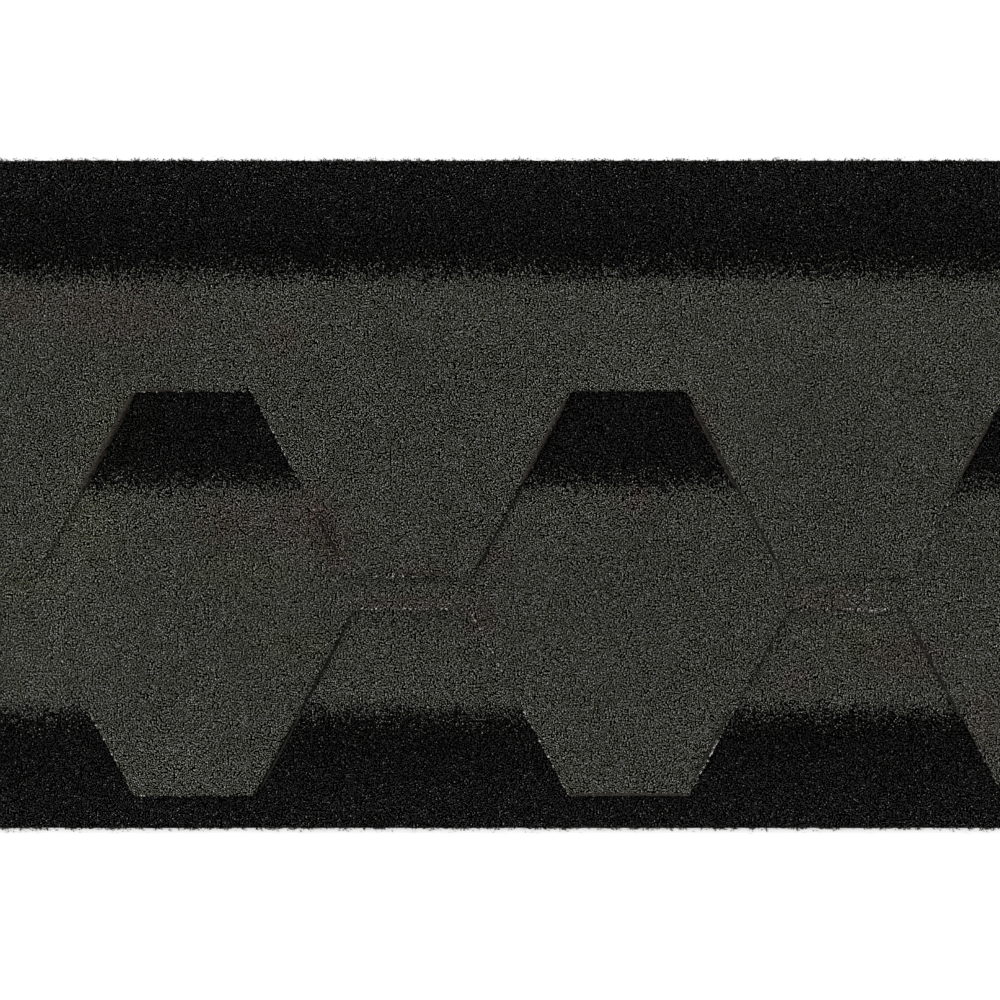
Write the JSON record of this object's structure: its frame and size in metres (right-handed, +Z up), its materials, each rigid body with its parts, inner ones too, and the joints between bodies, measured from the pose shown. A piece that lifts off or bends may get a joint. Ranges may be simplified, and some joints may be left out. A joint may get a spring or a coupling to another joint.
{
  "type": "asphalt shingle stack",
  "caption": "Lapped stack of granule-coated asphalt shingle strips with hexagonal tabs, laid as a starter and staggered courses, to cover a pitched roof.",
  "frame": {"origin": "on the floor below the middle of the stack's box", "axes": "+X along the strips, +Y from the starter's straight edge to the head of the second course, +Z up"},
  "size_m": [1.1666, 0.512, 0.0097],
  "materials": {
    "granule_coated_sheet": "bitumen sheet covered with grey-green mineral granules, matt, with a near-black band"
  },
  "bodies": {
    "root": {"starter_strip": "granule_coated_sheet", "first_course_strip": "granule_coated_sheet", "second_course_strip": "granule_coated_sheet"}
  },
  "joints": []
}
